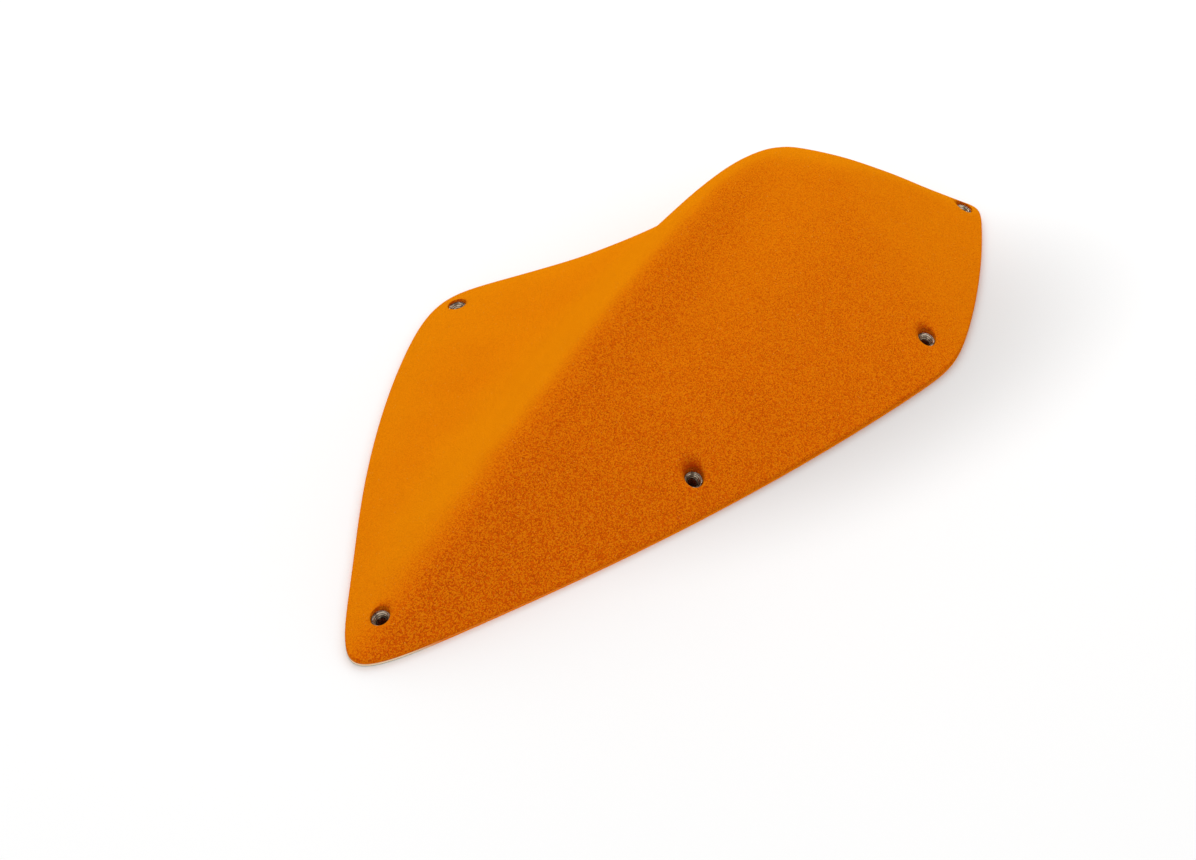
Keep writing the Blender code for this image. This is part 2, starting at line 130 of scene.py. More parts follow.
class HoldFaces(bpy.types.PropertyGroup):
    """Slopes and heights of the faces, and how softly they meet."""

    front_slope: ratio(1.295, "Rise over run at the tip")
    front_slope_right: ratio(0.663, "Rise over run at the right")
    right_slope: ratio(0.755, "Rise over run")
    back_right_slope: ratio(0.903, "Rise over run at the right")
    back_right_slope_back: ratio(1.537, "Rise over run at the back")
    back_left_slope: ratio(2.06, "Rise over run at the back")
    back_left_slope_left: ratio(0.9, "Rise over run at the left")
    left_edge_slope: ratio(0.572, "Rise over run of the left shoulder")
    left_shoulder: length(0.0073, "Height of the shoulder under the left face")
    left_shoulder_blend: length(0.003, "Roundness above the shoulder")
    left_slope: ratio(0.191, "Rise over run of the plain left face")
    overrun: ratio(0.2, "How far past its ends an edge's slope still changes")
    deck_height: length(0.0685, "Height of the deck's plane at the tip")
    deck_along: ratio(0.059, "Rise over run along the front edge")
    deck_across: ratio(0.0325, "Rise over run across the hold")
    peak: place((0.4755, 0.1975), "Plan place of the crest's high end")
    crest_at_tip: length(0.0064, "Height of the crest's line at the tip")
    crest_at_peak: length(0.1267, "Height of the crest's line at the peak")
    crest_swell: length(0.0394, "Extra height of the crest at mid-length")
    crest_bow: length(0.0097, "Sideways swell of the crest at mid-length")
    crest_overrun: ratio(0.1, "How far past its ends the crest still swells")
    flank_at_tip: ratio(1.371, "Rise over run right of the crest, at the tip")
    flank_at_peak: ratio(1.093, "Rise over run right of the crest, at the peak")
    left_flank_at_tip: ratio(0.731, "Rise over run left of the crest, at the tip")
    left_flank_at_peak: ratio(1.657, "Rise over run left of the crest, at the peak")
    deck_blend: length(0.0234, "Roundness between the deck and the front face")
    valley_blend: length(0.0063, "Roundness of the valley beside the flank")
    crest_blend: length(0.0183, "Roundness of the crest")
    left_blend: length(0.0054, "Roundness between the left face and the flank")
    back_blend: length(0.0155, "Roundness of the back edges")
    right_blend: length(0.0038, "Roundness above the right face")
    wander: length(0.0002, "Slight unevenness of the hand-finished faces", min=0.0, max=0.001)


class HoldLayers(bpy.types.PropertyGroup):
    """Thickness of the layers, from the wall outward and from the outside inward."""

    gap: length(0.0003, "Gap between neighbouring pieces")
    rim_thickness: length(0.002, "Height of the edge ring")
    rim_width: length(0.008, "Width of the edge ring")
    skin: length(0.0012, "Thickness of the gritty skin")
    trim: length(0.0002, "How far the finely divided outline stays inside the packed one")
    upright: length(0.0035, "Height of the skin's upright edge")
    fillet: length(0.001, "Radius where the upright edge turns onto the faces")
    laminate: length(0.003, "Thickness of the glassfibre laminate")
    bare_tip: length(0.035, "How far from the tip the edge ring is left without orange")


class HoldHoles(bpy.types.PropertyGroup):
    """The recessed screw holes: insert, moulded recess and boss."""

    flange: length(0.007, "Outer radius of the steel insert")
    flange_thickness: length(0.002, "Thickness of the insert's flange")
    countersink: length(0.006, "Radius of the countersink at its mouth")
    countersink_depth: length(0.0035, "Depth of the countersink")
    bore: length(0.0035, "Radius of the screw bore")
    sleeve: length(0.005, "Outer radius of the insert below its flange")
    insert_length: length(0.005, "Length of the insert")
    edge_rounding: length(0.0003, "Radius of the insert's turned edges")
    flare: ratio(0.18, "Widening of the recess for each unit of height")
    dish_height: length(0.0036, "Height above the flange at which the dish starts")
    dish_slope: ratio(1.1, "Rise over run of the dish round a recess")
    dish_blend: length(0.0011, "Roundness of the dish's outer edge")
    boss: length(0.015, "Radius of a resin boss")


class HoldFineness(bpy.types.PropertyGroup):
    """How finely the surfaces are divided."""

    cad_rays: whole(64, "Rays of the plain solids")
    skin_rays: whole(520, "Rays of the skin and the edge ring")
    skin_rings: whole(140, "Rings of the skin")
    inner_rays: whole(220, "Rays of hidden layers")
    inner_rings: whole(50, "Rings of hidden layers")
    sides: whole(96, "Sides of round pieces")
    sharp: angle(36, "Edges that turn more than this stay crisp")


class HoldFinishes(bpy.types.PropertyGroup):
    """Colours of the finishes, and of the light and shade painted on them."""

    orange: colour((0.85, 0.124, 0.0012), "Body colour of the gelcoat")
    # Painted light: the lighter, yellower orange of faces towards the softbox, also on the edge ring's side
    orange_painted_lit: colour((0.84, 0.230, 0.0016), "Gelcoat on faces that look up and back")
    # Painted highlight on the tops of random grains
    grain_highlight: colour((0.88, 0.30, 0.004), "Gelcoat on the tops of its grains")
    # Darker orange for real pits, patches and the lip, and for painted shade on faces turned from the
    # softbox
    orange_deep: colour((0.50, 0.065, 0.0012), "Gelcoat in its pits and on its lip")
    sheen: colour((1.0, 0.52, 0.0), "Tint of the gelcoat where it is seen at a flat angle")
    sheen_weight: ratio(0.25, "Strength of the gelcoat's sheen", min=0.0, max=1.0)
    # Painted shade deep in the recesses
    recess: colour((0.30, 0.013, 0.0005), "Gelcoat pooled deep in the recesses")
    speck: colour((0.93, 0.45, 0.10), "Pale grains that stand out of the gelcoat")
    laminate: colour((0.62, 0.55, 0.40), "Bare glassfibre laminate")
    fibre: colour((0.80, 0.76, 0.64), "Light strands in the laminate")
    edge: colour((0.66, 0.57, 0.40), "Ground resin edge")
    edge_bare: colour((0.90, 0.70, 0.47), "Soiled outer side of the edge at the tip")
    # Painted contact shadow along the foot of the edge ring at the tip
    edge_contact_shadow: colour((0.05, 0.055, 0.06), "Foot of the edge, where dirt gathers")
    boss: colour((0.13, 0.028, 0.009), "Dark filled resin")
    steel: colour((0.84, 0.74, 0.58), "Turned steel")
    # Dark steel for real stains, and for painted shade in the turned rings
    steel_stain_and_shade: colour((0.07, 0.045, 0.03), "Bottom of the turned rings, and stains")


class HoldStudio(bpy.types.PropertyGroup):
    """Camera, lamps and floor."""

    target: place((-0.0674, -0.0347, 0.0023), "Point the camera looks at")
    distance: length(2.0, "From the target to the camera")
    turn: angle(34.5, "Turn of the camera about the wall's normal, from the front")
    elevation: angle(45, "Height of the camera above the floor")
    focal: ratio(78.26, "Focal length in millimetres")
    key_power: ratio(15.5, "Power of the softbox in watts")
    key_size: length(2.0, "Side of the square softbox")
    key_distance: length(2.4, "From the hold to the softbox")
    key_turn: angle(6, "Turn of the softbox from straight behind the hold, to the left")
    key_elevation: angle(47, "Height of the softbox above the floor")
    ambient: ratio(1.13, "Strength of the even light of the room")
    floor: colour((0.98, 0.98, 0.978), "Pale studio floor")
    floor_shade: colour((0.74, 0.737, 0.732), "Floor in the soft shade by the blunt end")
    floor_size: length(12.0, "Side of the floor")


GROUPS = {
    "hold_outline": HoldOutline,
    "hold_faces": HoldFaces,
    "hold_layers": HoldLayers,
    "hold_holes": HoldHoles,
    "hold_fineness": HoldFineness,
    "hold_finishes": HoldFinishes,
    "hold_studio": HoldStudio,
}


# The outer shape


def soft_min(a, b, blend):
    """The lower of two heights, rounded where they cross: minus blend times log(exp(-a) + exp(-b))."""
    return -blend * np.logaddexp(-a / blend, -b / blend)


def soft_max(a, b, blend):
    """The higher of two heights, rounded where they cross."""
    return blend * np.logaddexp(a / blend, b / blend)


def bisect(inside, low, high, steps=32):
    """Distance along each ray at which the test stops being true, by halving the range."""
    for _ in range(steps):
        middle = (low + high) / 2
        passed = inside(middle)
        low = np.where(passed, middle, low)
        high = np.where(passed, high, middle)
    return low


def along_and_inward(x, y, start, end):
    """Share of the way from start to end, and the distance to the left of that line."""
    run_x, run_y = end[0] - start[0], end[1] - start[1]
    size = math.hypot(run_x, run_y)
    dx, dy = x - start[0], y - start[1]
    return (dx * run_x + dy * run_y) / size ** 2, (dy * run_x - dx * run_y) / size


class Shape:
    """The hold's outer surface over its drawing, and the rays that divide it."""

    SAMPLES = 1440
    LONGEST_RAY = 1.2
    RIPPLE_FADE = 0.012
    LINEAR_PAST = 60
    CENTRE_SHARE = 0.75
    TURNING_WEIGHT = 0.15
    HOLE_WEIGHT = 8.0
    HOLE_REACH = 0.014

    def __init__(self, scene):
        self.outline = scene.hold_outline
        self.faces = scene.hold_faces
        self.layers = scene.hold_layers
        self.holes = scene.hold_holes
        self.fineness = scene.hold_fineness
        self.tip = (0.0, 0.0)
        self.right = (self.outline.front_length, 0.0)
        self.centre = tuple(self.CENTRE_SHARE * value for value in self.faces.peak)
        self.floor = self.layers.rim_thickness + self.layers.gap
        self.edge_top = self.floor + self.layers.upright
        self.dense = np.linspace(0, 2 * math.pi, self.SAMPLES, endpoint=False)
        self.edge = np.stack(self.points(self.dense, self.outline_radii(self.dense)), axis=1)
        self.seats = {}
        self.skin_grid = (self.fineness.skin_rays, self.fineness.skin_rings)
        self.inner_grid = (self.fineness.inner_rays, self.fineness.inner_rings)
        plain = self.ray_angles(self.fineness.cad_rays)
        corners = np.stack(self.points(plain, self.outline_radii(plain)))
        self.middle = (corners.max(axis=1) + corners.min(axis=1)) / 2
        self.seats = screw_seats()

    def side_face(self, x, y, start, end, bow, slope, slope_at_end=None):
        """Face that climbs inward from a bowed edge: inward distance past the bow times the slope there."""
        slope_at_end = slope if slope_at_end is None else slope_at_end
        share, inward = along_and_inward(x, y, start, end)
        bowed = inward + 4 * bow * share * (1 - share)
        mix = np.clip(share, -self.faces.overrun, 1 + self.faces.overrun)
        return bowed * (slope + (slope_at_end - slope) * mix)

    def rise(self, x, y):
        """Height of the outer surface above its upright edge, zero on the outline.

        The lower of the front face and the deck meets the flank in a rounded valley, the left face meets
        the crest's left side, and the lower of both halves is cut by the back and right faces.
        """
        o, f = self.outline, self.faces
        front = self.side_face(x, y, self.tip, self.right, o.front_bow, f.front_slope, f.front_slope_right)
        right = self.side_face(x, y, self.right, o.back_right, o.right_bow, f.right_slope)
        back_right = self.side_face(x, y, o.back_right, o.back, o.back_right_bow,
                                    f.back_right_slope, f.back_right_slope_back)
        back_left = self.side_face(x, y, o.back, o.left, o.back_left_bow,
                                   f.back_left_slope, f.back_left_slope_left)
        shoulder = self.side_face(x, y, o.left, self.tip, o.left_bow, f.left_edge_slope)
        plain = self.side_face(x, y, o.left, self.tip, o.left_bow, f.left_slope)
        left = soft_min(shoulder, f.left_shoulder + plain, f.left_shoulder_blend)

        share, across = along_and_inward(x, y, self.tip, f.peak)
        near = np.clip(share, -f.crest_overrun, 1 + f.crest_overrun)
        swell = 4 * near * (1 - near)
        across = across + f.crest_bow * swell
        crest = f.crest_at_tip + (f.crest_at_peak - f.crest_at_tip) * share + f.crest_swell * swell
        flank = crest + across * (f.flank_at_tip + (f.flank_at_peak - f.flank_at_tip) * near)
        left_slope = f.left_flank_at_tip + (f.left_flank_at_peak - f.left_flank_at_tip) * near
        left_flank = crest - across * left_slope

        deck = f.deck_height + f.deck_along * x + f.deck_across * y
        right_half = soft_max(soft_min(front, deck, f.deck_blend), flank, f.valley_blend)
        left_half = soft_max(left, left_flank, f.left_blend)
        body = soft_min(left_half, right_half, f.crest_blend)
        back = soft_min(back_right, back_left, f.back_blend)
        return soft_min(soft_min(body, back, f.back_blend), right, f.right_blend)

    def slope(self, x, y, step=0.0005):
        """Rise over run along x and along y, by central differences."""
        along_x = (self.rise(x + step, y) - self.rise(x - step, y)) / (2 * step)
        along_y = (self.rise(x, y + step) - self.rise(x, y - step)) / (2 * step)
        return along_x, along_y

    def unevenness(self, x, y, height):
        """Slow ripples of a hand-finished face: a sum of sines that fades out towards the outline."""
        ripple = (np.sin(61 * x + 23 * y + 1.3) + np.sin(-37 * x + 71 * y)
                  + 0.6 * np.sin(113 * x - 59 * y + 4.1) + 0.5 * np.sin(89 * x + 127 * y + 2.2))
        return self.faces.wander * ripple * np.clip(height / self.RIPPLE_FADE, 0, 1)

    def height(self, x, y, depth, dished=True):
        """Height above the wall of the surface a depth below the outer one, dished round the screw holes.

        The rise is lowered by the depth times the surface's stretch. Round a hole, the height up its axis
        is kept under a cone that starts at the dish's foot, rounded by a softplus.
        """
        rise = self.rise(x, y)
        along_x, along_y = self.slope(x, y)
        z = self.edge_top + rise + self.unevenness(x, y, rise)
        z = z - depth * np.sqrt(1 + along_x ** 2 + along_y ** 2)
        h = self.holes
        stretch = math.hypot(1, h.dish_slope)
        for seat, axis in self.seats.values() if dished else ():
            dx, dy, dz = x - self.middle[0] - seat[0], y - self.middle[1] - seat[1], z - seat[2]
            up = dx * axis[0] + dy * axis[1] + dz * axis[2]
            out = np.sqrt(np.maximum(dx ** 2 + dy ** 2 + dz ** 2 - up ** 2, 0))
            beyond = np.maximum(out - h.flange - self.layers.gap, 0)
            dish = h.dish_height + h.dish_slope * beyond - depth * stretch
            over = (up - dish) / h.dish_blend
            rounded = np.logaddexp(0, np.minimum(over, self.LINEAR_PAST))
            z = z - h.dish_blend * np.where(over < self.LINEAR_PAST, rounded, over) / axis[2]
        return np.minimum(z, CAD_BOX[1][2] - depth)

    def points(self, angles, radii):
        """Drawing coordinates of points at distances along rays from the centre."""
        return self.centre[0] + radii * np.cos(angles), self.centre[1] + radii * np.sin(angles)

    def outline_radii(self, angles):
        """Distance from the centre to the outermost place where the rise is zero."""
        tries = np.linspace(0, self.LONGEST_RAY, 400)[:, None]
        above = self.rise(*self.points(angles, tries)) > 0
        last = len(tries) - 1 - np.argmax(above[::-1], axis=0)
        high = tries[np.minimum(last + 1, len(tries) - 1), 0]
        return bisect(lambda radii: self.rise(*self.points(angles, radii)) > 0, tries[last, 0], high)

    def ray_angles(self, count):
        """Rays at equal steps of the outline's length, its turning, and the width of the screw holes."""
        run = np.roll(self.edge, -1, axis=0) - self.edge
        heading = np.unwrap(np.arctan2(run[:, 1], run[:, 0]))
        turning = np.abs(np.diff(heading, prepend=heading[-1] - 2 * math.pi))
        steps = np.hypot(*run.T) + self.TURNING_WEIGHT * turning
        for seat, _axis in self.seats.values():
            dx, dy = seat[0] + self.middle[0] - self.centre[0], seat[1] + self.middle[1] - self.centre[1]
            distance = math.hypot(dx, dy)
            away = np.angle(np.exp(1j * (self.dense - math.atan2(dy, dx)))) * distance
            step = distance * 2 * math.pi / self.SAMPLES
            steps += self.HOLE_WEIGHT * step * np.clip(2 - np.abs(away) / self.HOLE_REACH, 0, 1)
        travelled = np.concatenate([[0], np.cumsum(steps)])
        wanted = np.linspace(0, travelled[-1], count, endpoint=False)
        return np.interp(wanted, travelled, np.append(self.dense, 2 * math.pi))

    def distance_to_edge(self, x, y):
        """Shortest distance from points to the outline's straight pieces."""
        run = np.roll(self.edge, -1, axis=0) - self.edge
        dx, dy = x[:, None] - self.edge[:, 0], y[:, None] - self.edge[:, 1]
        share = np.clip((dx * run[:, 0] + dy * run[:, 1]) / (run ** 2).sum(axis=1), 0, 1)
        return np.hypot(dx - share * run[:, 0], dy - share * run[:, 1]).min(axis=1)

    def inset_radii(self, angles, inset):
        """Distance from the centre to the curve that runs an inset and the trim inside the outline."""
        inset = inset + self.layers.trim
        outer = self.outline_radii(angles)
        # Along a ray the curve lies no farther in than this, even at the sharp tip
        deepest = np.maximum(outer - 8 * inset - 0.005, 0)
        return bisect(lambda radii: self.distance_to_edge(*self.points(angles, radii)) >= inset,
                      deepest, outer, 24)

    def part_points(self, x, y, z):
        """Points in the part's frame, with coordinates on the last axis."""
        x, y, z = np.broadcast_arrays(x - self.middle[0], y - self.middle[1], z)
        return np.stack([x, y, z], axis=-1)


def places_and_normals(obj):
    """Places and normals of an object's points, one row each."""
    places, normals = np.empty((2, 3 * len(obj.data.vertices)), np.float32)
    obj.data.vertices.foreach_get("co", places)
    obj.data.vertex_normals.foreach_get("vector", normals)
    return places.reshape(-1, 3), normals.reshape(-1, 3)


def screw_seats():
    """Middle of each insert's flat top and the axis of its hole, measured on the packed solids."""
    axes = {mount["name"]: mount["axis"] for mount in frame["record"]["mounts"]}
    seats = {}
    for name, node in frame["nodes"].items():
        if not name.startswith("screw_insert_"):
            continue
        label = name.removeprefix("screw_insert_")
        axis = np.array(axes[f"screw_seat_{label}"])
        axis = axis / np.linalg.norm(axis)
        places = np.unique(places_and_normals(node)[0].astype(float).round(6), axis=0)
        middle = places.mean(axis=0)
        seats[label] = (middle + ((places - middle) @ axis).max() * axis, axis)
    return seats


# Meshes from arrays


def mesh_object(name, points, *faces):
    """Object from an array of points and arrays of faces, each array all triangles or all quads."""
    mesh = bpy.data.meshes.new(name)
    corners = np.concatenate([group.ravel() for group in faces])
    sizes = np.concatenate([np.full(len(group), group.shape[1]) for group in faces])
    mesh.vertices.add(len(points))
    mesh.vertices.foreach_set("co", np.asarray(points, np.float32).ravel())
    mesh.loops.add(len(corners))
    mesh.loops.foreach_set("vertex_index", corners.astype(np.int32))
    mesh.polygons.add(len(sizes))
    mesh.polygons.foreach_set("loop_start", (np.cumsum(sizes) - sizes).astype(np.int32))
    mesh.update(calc_edges=True)
    obj = bpy.data.objects.new(name, mesh)
    bpy.context.scene.collection.objects.link(obj)
    return obj


def row_quads(rows, columns, closed=False):
    """Quads between neighbouring rows of a grid whose columns wrap round, and whose rows may too."""
    index = np.arange(rows * columns).reshape(rows, columns)
    nearer = index if closed else index[:-1]
    farther = np.roll(index, -1, axis=0) if closed else index[1:]
    return np.stack([nearer, farther, np.roll(farther, -1, axis=1), np.roll(nearer, -1, axis=1)],
                    axis=-1).reshape(-1, 4)


def closed_body(name, rows, first_pole, last_pole):
    """Solid from rows of points, outward from one pole and on to the other, as one closed sheet."""
    count, columns, _ = rows.shape
    points = np.vstack([rows.reshape(-1, 3), first_pole, last_pole])
    first = np.arange(columns)
    last = first + (count - 1) * columns
    start = np.stack([np.full(columns, count * columns), first, np.roll(first, -1)], axis=1)
    end = np.stack([np.full(columns, count * columns + 1), np.roll(last, -1), last], axis=1)
    return mesh_object(name, points, row_quads(count, columns), start, end)


def axis_frame(axis):
    """Two unit vectors square to an axis and to each other."""
    side = np.cross((0.0, 1.0, 0.0), axis)
    side = side / np.linalg.norm(side)
    return side, np.cross(axis, side)


def turned_points(profile, seat, axis, sides):
    """Rows of (radius, height) turned about an axis: seat + r cos(t) u + r sin(t) v + h axis."""
    profile = np.array(profile)
    turn = np.linspace(0, 2 * math.pi, sides, endpoint=False)
    side, other = axis_frame(axis)
    spokes = np.cos(turn)[:, None] * side + np.sin(turn)[:, None] * other
    return seat + profile[:, :1, None] * spokes + profile[:, 1:, None] * axis


def plug(name, profile, seat, axis, sides):
    """Solid round plug from its lowest (radius, height) to its highest, closed flat at both ends."""
    rows = turned_points(list(profile)[::-1], seat, axis, sides)
    top, bottom = rows[0].mean(axis=0), rows[-1].mean(axis=0)
    return closed_body(name, rows, top, bottom)


def ring_of(profile, rounding, steps=4):
    """Corners of a closed (radius, height) profile, each replaced by a small arc's chords.

    Each corner is cut back by the rounding along both of its sides, and the cut is filled with a
    quadratic curve: (1-t)^2 a + 2t(1-t) corner + t^2 b.
    """
    corner = np.array(profile)
    before, after = np.roll(corner, 1, axis=0) - corner, np.roll(corner, -1, axis=0) - corner
    before *= rounding / np.linalg.norm(before, axis=1, keepdims=True)
    after *= rounding / np.linalg.norm(after, axis=1, keepdims=True)
    t = np.linspace(0, 1, steps)[:, None, None]
    arc = (1 - t) ** 2 * (corner + before) + 2 * t * (1 - t) * corner + t ** 2 * (corner + after)
    return arc.transpose(1, 0, 2).reshape(-1, 2)


def combine(obj, operation, tool):
    """Boolean modifier on an object."""
    modifier = obj.modifiers.new(operation, "BOOLEAN")
    modifier.operation = operation
    modifier.solver = "MANIFOLD"
    modifier.object = tool


def settle(obj, *tools):
    """Apply an object's modifiers, and remove the tools that they used."""
    bpy.context.view_layer.update()
    depsgraph = bpy.context.evaluated_depsgraph_get()
    mesh = bpy.data.meshes.new_from_object(obj.evaluated_get(depsgraph))
    if len(mesh.polygons) == 0:
        raise RuntimeError(f"{obj.name} lost its faces while it was cut")
    obj.modifiers.clear()
    mesh.name = obj.name
    obj.data = mesh
    for tool in tools:
        bpy.data.objects.remove(tool)


# Materials


def maths_method(operation, swapped=False):
    """Operator method that adds a Math node on a value and another, or on the other one first."""
    def method(self, other):
        return self.maths(operation, *((other, self) if swapped else (self, other)))
    return method


class Value:
    """A number that varies over a surface, with Python's operators adding Math nodes."""

    __add__ = maths_method("ADD")
    __radd__ = maths_method("ADD", swapped=True)
    __sub__ = maths_method("SUBTRACT")
    __rsub__ = maths_method("SUBTRACT", swapped=True)
    __mul__ = maths_method("MULTIPLY")
    __rmul__ = maths_method("MULTIPLY", swapped=True)

    def __init__(self, paint, output):
        self.paint = paint
        self.output = output

    def maths(self, operation, *values):
        """A Math node on this and other values."""
        return self.paint.node("ShaderNodeMath", {"operation": operation}, dict(enumerate(values)))

    def ramp(self, low, high):
        """Smooth step from 0 at low to 1 at high."""
        return self.paint.node("ShaderNodeMapRange", {"interpolation_type": "SMOOTHSTEP"},
                               {"Value": self, "From Min": low, "From Max": high})


class Paint:
    """The nodes of one material or of the world."""

    def __init__(self, owner, output="ShaderNodeOutputMaterial"):
        owner.use_nodes = True
        self.owner = owner
        self.output = output
        self.tree = owner.node_tree
        self.tree.nodes.clear()

    @cached_property
    def coordinates(self):
        """The object's coordinates, which are the packed part's own."""
        return self.node("ShaderNodeTexCoord", output="Object")

    def node(self, kind, settings=None, inputs=None, output=0):
        """Add a node: its settings first, then the values or links of its sockets."""
        node = self.tree.nodes.new(kind)
        for key, value in (settings or {}).items():
            setattr(node, key, value)
        for key, value in (inputs or {}).items():
            if isinstance(value, Value):
                self.tree.links.new(value.output, node.inputs[key])
            else:
                node.inputs[key].default_value = value
        return Value(self, node.outputs[output]) if node.outputs else None

    def noise(self, density, detail=2.0, roughness=0.5, **mapping):
        """Noise between 0 and 1 on the object's coordinates, with features about 1/density across."""
        vector = self.mapped(**mapping) if mapping else self.coordinates
        return self.node("ShaderNodeTexNoise", None,
                         {"Vector": vector, "Scale": density, "Detail": detail, "Roughness": roughness})

    def mapped(self, **inputs):
        """The object's coordinates through a Mapping node."""
        named = {key.capitalize(): value for key, value in inputs.items()}
        return self.node("ShaderNodeMapping", None, {"Vector": self.coordinates, **named})

    def cells(self, scale, output="Distance"):
        """Voronoi cells about 1/scale across: distance to the nearest seed, or the cell's own colour."""
        return self.node("ShaderNodeTexVoronoi", None, {"Vector": self.coordinates, "Scale": scale}, output)

    def parts(self, vector):
        """The three numbers of a vector or colour."""
        first = self.node("ShaderNodeSeparateXYZ", None, {0: vector})
        return [Value(self, output) for output in first.output.node.outputs]

    def coats(self, body, *coats):
        """A colour with others laid over it, each as far as its own factor says."""
        for factor, over in coats:
            body = self.node("ShaderNodeMix", {"data_type": "RGBA"},
                             {0: factor, 6: as_colour(body), 7: as_colour(over)}, 2)
        return body

    def attribute(self, name):
        """A number stored on the mesh's points."""
        return self.node("ShaderNodeAttribute", {"attribute_name": name}, output="Fac")

    def bump(self, height, strength, distance):
        """Normal of a surface raised by a height times a distance."""
        return self.node("ShaderNodeBump", None,
                         {"Height": height, "Strength": strength, "Distance": distance})

    def surface(self, body, roughness, normal, constants=None):
        """Finish the material with a Principled shader, whose constants are set on its own sockets."""
        return self.close(self.node("ShaderNodeBsdfPrincipled", None, {
            "Base Color": body, "Roughness": roughness, "Normal": normal, **(constants or {})}))

    def close(self, shader):
        """Send a shader to the output, and return the material or world."""
        self.node(self.output, None, {"Surface": shader})
        return self.owner


def as_colour(value):
    """A colour with its alpha, or a link left as it is."""
    return value if isinstance(value, Value) else (*tuple(value)[:3], 1.0)


def gritty_orange(finishes, shape):
    """Orange gelcoat over sharp grit: grains about 1 mm, dark pits between them, a few pale specks.

    Light and shade are painted into the colour by the facing_light share: faces towards the softbox get
    a lighter, yellower orange, and faces turned from it get painted shade, with darker pits and grain
    tone and more pale grain tops as a painted highlight. Recesses get painted shade by how deep they sink.
    """
    paint = Paint(bpy.data.materials.new("gritty_orange_gelcoat"))
    grain = paint.cells(1000.0)
    fine = paint.noise(1500.0, detail=3.0, roughness=0.6)
    clumps = paint.noise(650.0, detail=2.0, roughness=0.55)
    patches = paint.noise(24.0, detail=3.0, roughness=0.55)
    tone, chance, _ = paint.parts(paint.cells(1000.0, "Color"))
    _, _, z = paint.parts(paint.coordinates)
    facing_light = paint.attribute("facing_light")
    # How far a face turns from the softbox; it weighs the painted shade and painted highlight below
    shown = 1.1 - facing_light
    pits = grain.ramp(0.40, 0.72) * clumps.ramp(0.32, 0.62)
    lip = 1 - z.ramp(shape.edge_top - 0.0012, shape.edge_top + 0.0004)
    specks = chance.ramp(0.985, 0.992) * (1 - grain.ramp(0.2, 0.45))
    body = paint.coats(
        finishes.orange,
        # Painted light: lighter, yellower orange on faces towards the softbox
        (facing_light, finishes.orange_painted_lit),
        # Painted shade on faces turned from the softbox
        (facing_light.ramp(0.35, 0.0) * 0.22, finishes.orange_deep),
        (patches.ramp(0.25, 0.75) * 0.08, finishes.orange_deep),
        # Real pits and grain tone, darkened further as painted shade on faces turned from the softbox
        (pits * shown, finishes.orange_deep),
        ((tone - 0.5).ramp(-0.5, 0.5) * shown * 0.3, finishes.orange_deep),
        # Painted highlight on pale grain tops, weighed up on faces turned from the softbox
        (tone.ramp(0.75, 0.35) * (1 - pits) * shown * 0.45, finishes.grain_highlight),
        (lip * 0.15, finishes.orange_deep),
        # Painted shade deep in the recesses, by how far they are sunk
        (paint.attribute("sunk") * 0.85, finishes.recess),
        (specks * 0.4, finishes.speck))
    height = (1 - grain) * 0.7 + fine * 0.35 + clumps * 0.5
    return paint.surface(body, 0.62 + pits * 0.2, paint.bump(height, 1.0, 0.0009), {
        "Specular IOR Level": 0.0, "Sheen Weight": finishes.sheen_weight, "Sheen Roughness": 0.5,
        "Sheen Tint": as_colour(finishes.sheen)})


def fibre_laminate(finishes):
    """Bare laminate: pale strands chopped in all directions in a yellowish resin."""
    paint = Paint(bpy.data.materials.new("bare_glassfibre_laminate"))
    strands = None
    for turn in (0.0, 0.9, 1.9, 2.6):
        line = paint.noise(60.0, roughness=0.6, rotation=(0.0, 0.0, turn), scale=(1.0, 12.0, 1.0))
        line = line.ramp(0.55, 0.72)
        strands = line if strands is None else strands.maths("MAXIMUM", strands, line)
    cloudy = paint.noise(30.0, detail=3.0)
    body = paint.coats(finishes.laminate, (strands * 0.75, finishes.fibre),
                       (cloudy.ramp(0.35, 0.75) * 0.3, finishes.edge))
    return paint.surface(body, 0.38 + strands * 0.25, paint.bump(strands + cloudy * 0.4, 0.5, 0.0006))


def ground_edge(finishes):
    """Resin edge ground flat by hand, scratched, with the skin's orange sprayed over its outer side.

    The sprayed orange is the lighter one, as painted light on the upright side, and at the tip a painted
    contact shadow runs along the foot.
    """
    paint = Paint(bpy.data.materials.new("ground_resin_edge"))
    scratches = paint.noise(900.0, detail=3.0, roughness=0.7, scale=(1.0, 1.0, 6.0))
    cloudy = paint.noise(60.0, detail=3.0)
    bare = paint.attribute("bare")
    _, _, z = paint.parts(paint.coordinates)
    # Painted light: the lighter orange brightens the upright side that the softbox barely lights
    orange = paint.coats(finishes.orange_painted_lit, (cloudy * 0.3, finishes.orange))
    body = paint.coats(
        finishes.edge,
        (cloudy.ramp(0.3, 0.7) * 0.35, finishes.laminate),
        (scratches.ramp(0.5, 0.75) * 0.3, finishes.fibre),
        (paint.attribute("overspray"), orange),
        (bare * 0.8, finishes.edge_bare),
        # Painted contact shadow along the foot at the tip
        (bare * (1 - z.ramp(0.0002, 0.0007)), finishes.edge_contact_shadow))
    return paint.surface(body, 0.6 + scratches * 0.15, paint.bump(scratches, 0.4, 0.0003),
                         {"Specular IOR Level": 0.0})


